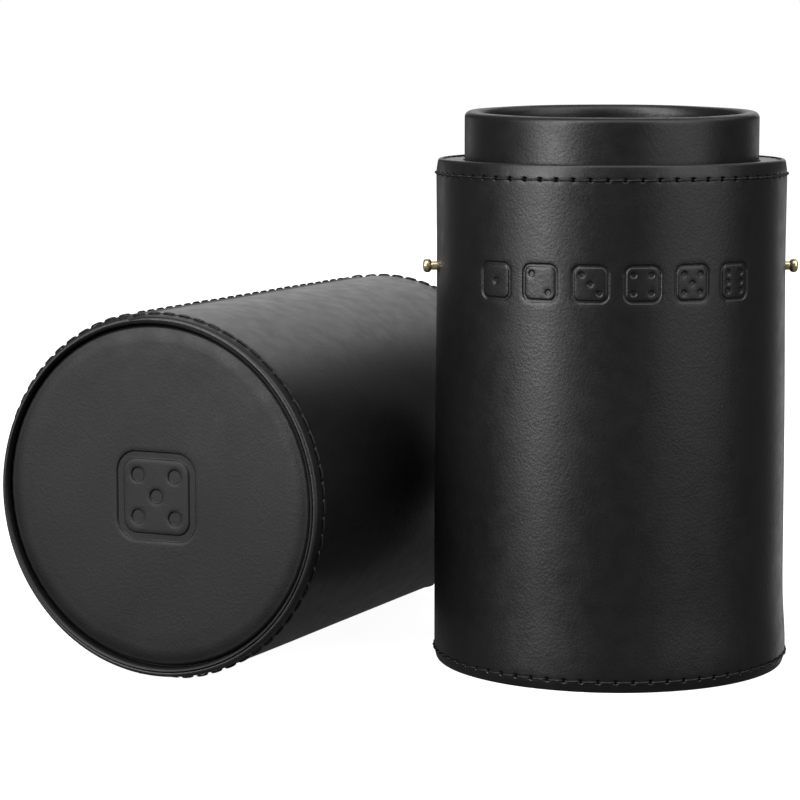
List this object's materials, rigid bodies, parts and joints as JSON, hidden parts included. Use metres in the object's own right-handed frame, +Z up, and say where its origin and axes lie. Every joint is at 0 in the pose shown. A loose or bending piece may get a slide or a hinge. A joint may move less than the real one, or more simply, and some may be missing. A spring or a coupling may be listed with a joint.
{
  "type": "dice cup with lid",
  "caption": "Cylindrical leather-sheathed dice cup with a raised collar, standing open beside its slip-on lid, which lies on its side.",
  "frame": {"origin": "bottom centre of the box round the cup and the lid as they stand, on the surface they rest on", "axes": "+Z up along the cup's axis; the cup is at +X and the lid at -X; the studs are on the cup's -X and +X sides; the lid's closed end faces -Y and its mouth +Y"},
  "size_m": [0.1728, 0.1358, 0.12],
  "materials": {
    "leather": "smooth satin black leather with a very fine grain",
    "board": "grey board, hidden inside",
    "lining": "matt black short-pile lining",
    "thread": "black twisted thread",
    "foam": "thin grey padding, hidden inside",
    "brass": "polished pale brass"
  },
  "bodies": {
    "cup": {"cup_outer_leather": "leather", "cup_core_tube": "board", "shoulder_leather": "leather", "collar_tube": "board", "collar_leather": "leather", "cup_lining": "lining", "cup_floor_lining": "lining", "cup_base_board": "board", "cup_base_leather": "leather", "cup_top_stitch": "thread", "cup_bottom_stitch": "thread", "cup_seam_stitch": "thread", "stud_left": "brass", "stud_right": "brass", "stud_screw_left": "brass", "stud_screw_right": "brass"},
    "lid": {"lid_outer_leather": "leather", "lid_core_tube": "board", "lid_mouth_leather": "leather", "lid_lining": "lining", "lid_end_lining": "lining", "lid_end_board": "board", "lid_end_foam": "foam", "lid_end_leather": "leather", "lid_end_stitch": "thread", "lid_mouth_stitch": "thread", "lid_seam_stitch": "thread"}
  },
  "joints": [
    {"name": "lid_tip", "type": "hinge", "parent": "cup", "child": "lid", "pos_m": [-0.05141, -0.05153, 0], "axis": [0.9041, -0.4274, 0], "range_deg": [0, 90]}
  ]
}
